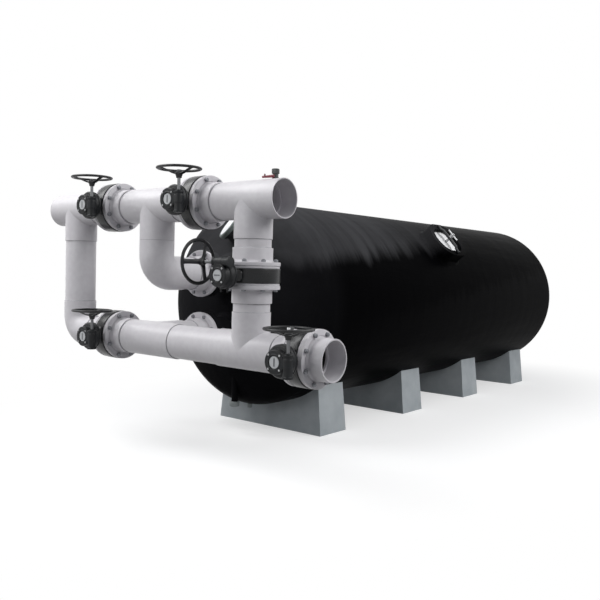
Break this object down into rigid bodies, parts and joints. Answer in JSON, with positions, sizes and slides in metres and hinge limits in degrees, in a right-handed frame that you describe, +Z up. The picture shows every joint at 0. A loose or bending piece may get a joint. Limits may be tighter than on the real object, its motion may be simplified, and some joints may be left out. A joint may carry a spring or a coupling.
{
  "type": "horizontal pool filter",
  "caption": "Large horizontal fibreglass sand filter on saddles with a face manifold of plastic pipe and geared butterfly valves.",
  "frame": {"origin": "middle of the underside of the front saddle", "axes": "+Z up, +Y along the tank away from the face piping, +X along the headers towards the outlet valve"},
  "size_m": [2.656, 6.0837, 1.887],
  "materials": {
    "white_pvc": "satin moulded PVC",
    "tank_laminate": "glossy black gelcoat over wound fibreglass",
    "saddle_grey": "grey paint, satin",
    "cover_plastic": "satin light grey moulding",
    "black_iron": "black coating",
    "bright_steel": "turned stainless steel",
    "filter_sand": "graded filter sand",
    "inner_pvc": "white pipe",
    "drain_grey": "grey plastic",
    "bleed_grey": "dark grey plastic",
    "lever_red": "red moulded lever",
    "bolt_steel": "dark galvanised steel",
    "seat_rubber": "black rubber",
    "valve_black": "dark grey coating on iron",
    "disc_metal": "coated iron disc on a steel stem",
    "gear_black": "black coating on iron",
    "wheel_black": "black coated iron"
  },
  "bodies": {
    "filter": {"left_tee": "white_pvc", "middle_tee": "white_pvc", "right_tee": "white_pvc", "riser_elbow": "white_pvc", "nozzle_elbow": "white_pvc", "lower_middle_tee": "white_pvc", "lower_right_tee": "white_pvc", "riser_pipe": "white_pvc", "lower_header_pipe": "white_pvc", "pipe_nipples": "white_pvc", "upper_nozzle_flange": "white_pvc", "lower_nozzle_flange": "white_pvc", "tank_shell": "tank_laminate", "front_saddle": "saddle_grey", "second_saddle": "saddle_grey", "third_saddle": "saddle_grey", "rear_saddle": "saddle_grey", "front_port_cover": "cover_plastic", "manway_cover": "cover_plastic", "manway_yoke": "black_iron", "manway_screw": "bright_steel", "sand_bed": "filter_sand", "top_distributor": "inner_pvc", "bottom_collector": "inner_pvc", "drain_cap": "drain_grey", "sample_plug": "drain_grey", "bleed_valve_body": "bleed_grey", "flange_bolts": "bolt_steel", "valve_seats": "seat_rubber", "waste_valve_body": "valve_black", "waste_valve_gearbox": "gear_black", "waste_valve_flanges": "white_pvc", "inlet_valve_body": "valve_black", "inlet_valve_gearbox": "gear_black", "inlet_valve_flanges": "white_pvc", "rinse_valve_body": "valve_black", "rinse_valve_gearbox": "gear_black", "rinse_valve_flanges": "white_pvc", "outlet_valve_body": "valve_black", "outlet_valve_gearbox": "gear_black", "outlet_valve_flanges": "white_pvc", "backwash_valve_body": "valve_black", "backwash_valve_gearbox": "gear_black", "backwash_valve_flanges": "white_pvc"},
    "bleed_lever": {"bleed_valve_lever": "lever_red"},
    "waste_valve_disc": {"waste_valve_disc": "disc_metal"},
    "waste_valve_wheel": {"waste_valve_input_shaft": "bright_steel", "waste_valve_handwheel": "wheel_black"},
    "inlet_valve_disc": {"inlet_valve_disc": "disc_metal"},
    "inlet_valve_wheel": {"inlet_valve_input_shaft": "bright_steel", "inlet_valve_handwheel": "wheel_black"},
    "rinse_valve_disc": {"rinse_valve_disc": "disc_metal"},
    "rinse_valve_wheel": {"rinse_valve_input_shaft": "bright_steel", "rinse_valve_handwheel": "wheel_black"},
    "outlet_valve_disc": {"outlet_valve_disc": "disc_metal"},
    "outlet_valve_wheel": {"outlet_valve_input_shaft": "bright_steel", "outlet_valve_handwheel": "wheel_black"},
    "backwash_valve_disc": {"backwash_valve_disc": "disc_metal"},
    "backwash_valve_wheel": {"backwash_valve_input_shaft": "bright_steel", "backwash_valve_handwheel": "wheel_black"}
  },
  "joints": [
    {"name": "waste_valve_stem_turn", "type": "hinge", "parent": "filter", "child": "waste_valve_disc", "pos_m": [-0.44, -1.382, 1.696], "axis": [0, -1, 0], "range_deg": [0, 90]},
    {"name": "waste_valve_wheel_turn", "type": "hinge", "parent": "filter", "child": "waste_valve_wheel", "pos_m": [-0.364, -1.66, 1.696], "axis": [0, 0, 1], "range_deg": [0, 2160]},
    {"name": "inlet_valve_stem_turn", "type": "hinge", "parent": "filter", "child": "inlet_valve_disc", "pos_m": [0.44, -1.382, 1.696], "axis": [0, -1, 0], "range_deg": [0, 90]},
    {"name": "inlet_valve_wheel_turn", "type": "hinge", "parent": "filter", "child": "inlet_valve_wheel", "pos_m": [0.516, -1.66, 1.696], "axis": [0, 0, 1], "range_deg": [0, 2160]},
    {"name": "rinse_valve_stem_turn", "type": "hinge", "parent": "filter", "child": "rinse_valve_disc", "pos_m": [-0.416, -1.382, 0.786], "axis": [0, -1, 0], "range_deg": [0, 90]},
    {"name": "rinse_valve_wheel_turn", "type": "hinge", "parent": "filter", "child": "rinse_valve_wheel", "pos_m": [-0.34, -1.66, 0.786], "axis": [0, 0, 1], "range_deg": [0, 2160]},
    {"name": "outlet_valve_stem_turn", "type": "hinge", "parent": "filter", "child": "outlet_valve_disc", "pos_m": [1.32, -1.382, 0.786], "axis": [0, -1, 0], "range_deg": [0, 90]},
    {"name": "outlet_valve_wheel_turn", "type": "hinge", "parent": "filter", "child": "outlet_valve_wheel", "pos_m": [1.396, -1.66, 0.786], "axis": [0, 0, 1], "range_deg": [0, 2160]},
    {"name": "backwash_valve_stem_turn", "type": "hinge", "parent": "filter", "child": "backwash_valve_disc", "pos_m": [0.88, -1.382, 1.241], "axis": [0, -1, 0], "range_deg": [0, 90]},
    {"name": "backwash_valve_wheel_turn", "type": "hinge", "parent": "filter", "child": "backwash_valve_wheel", "pos_m": [0.88, -1.66, 1.317], "axis": [-1, 0, 0], "range_deg": [0, 2160]},
    {"name": "bleed_lever_turn", "type": "hinge", "parent": "filter", "child": "bleed_lever", "pos_m": [1.045, -1.382, 1.825], "axis": [0, 1, 0], "range_deg": [0, 90]}
  ],
  "couplings": [
    {"joint": "waste_valve_wheel_turn", "follows": "waste_valve_stem_turn", "ratio": 24},
    {"joint": "inlet_valve_wheel_turn", "follows": "inlet_valve_stem_turn", "ratio": 24},
    {"joint": "rinse_valve_wheel_turn", "follows": "rinse_valve_stem_turn", "ratio": 24},
    {"joint": "outlet_valve_wheel_turn", "follows": "outlet_valve_stem_turn", "ratio": 24},
    {"joint": "backwash_valve_wheel_turn", "follows": "backwash_valve_stem_turn", "ratio": 24}
  ]
}
